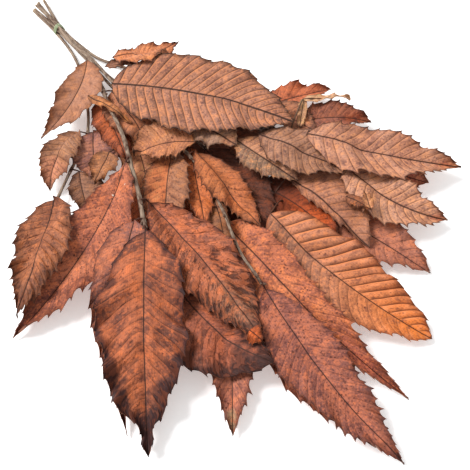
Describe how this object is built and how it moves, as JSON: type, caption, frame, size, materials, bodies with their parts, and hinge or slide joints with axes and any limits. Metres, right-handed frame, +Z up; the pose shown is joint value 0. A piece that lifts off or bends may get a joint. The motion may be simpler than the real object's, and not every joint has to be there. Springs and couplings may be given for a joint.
{
  "type": "bunch of autumn leaves",
  "caption": "Tied bunch of cut sweet chestnut twigs with dried, toothed autumn leaves in orange, rust and dusty brown, lying flat.",
  "frame": {"origin": "middle of the bunch's box, on the surface it lies on", "axes": "+Y along the bunch towards the cut ends of the twigs, +Z up from the surface, +X to the right seen from above"},
  "size_m": [0.4196, 0.5913, 0.0452],
  "materials": {
    "bark": "matt grey-brown bark",
    "tie": "pale green woven tape",
    "leaf_orange": "dry leaf, matt with a faint sheen, orange",
    "leaf_rust": "dry leaf, matt with a faint sheen, rust",
    "leaf_tan": "dry leaf, matt with a faint sheen, tan",
    "leaf_dusty": "dry leaf, matt with a faint sheen, dusty",
    "leaf_dark": "dry leaf, matt with a faint sheen, dark",
    "leaf_plum": "dry leaf, matt with a faint sheen, plum"
  },
  "bodies": {
    "root": {"leaf_a_front": "leaf_plum", "leaf_a_inner": "leaf_tan", "leaf_a_orange": "leaf_orange", "leaf_a_right": "leaf_rust", "leaf_a_right_low": "leaf_plum", "leaf_a_small": "leaf_rust", "leaf_a_under": "leaf_rust", "leaf_b_back": "leaf_rust", "leaf_b_dotted": "leaf_orange", "leaf_b_end": "leaf_rust", "leaf_b_front_low": "leaf_plum", "leaf_b_left": "leaf_orange", "leaf_b_lobe": "leaf_tan", "leaf_b_low": "leaf_rust", "leaf_b_side": "leaf_rust", "leaf_b_strip": "leaf_orange", "leaf_l_end": "leaf_rust", "leaf_l_inner": "leaf_dusty", "leaf_l_left": "leaf_dusty", "leaf_l_plum": "leaf_plum", "leaf_l_red": "leaf_rust", "leaf_l_top": "leaf_tan", "leaf_m_big": "leaf_dusty", "leaf_m_end": "leaf_dusty", "leaf_m_folded": "leaf_tan", "leaf_m_grey": "leaf_dusty", "leaf_o_dark": "leaf_dark", "leaf_o_end_low": "leaf_rust", "leaf_o_inner": "leaf_rust", "leaf_o_inner_right": "leaf_dusty", "leaf_o_orange": "leaf_orange", "leaf_r_curled": "leaf_tan", "leaf_r_dusty": "leaf_dusty", "leaf_r_end_low": "leaf_rust", "leaf_r_end_wide": "leaf_dusty", "leaf_r_inner": "leaf_dusty", "leaf_r_long": "leaf_dusty", "leaf_r_small": "leaf_rust", "leaf_r_top_back": "leaf_rust", "leaf_r_under": "leaf_dark", "tie": "tie", "twig_a": "bark", "twig_b": "bark", "twig_l": "bark", "twig_m": "bark", "twig_o": "bark", "twig_r": "bark"}
  },
  "joints": []
}
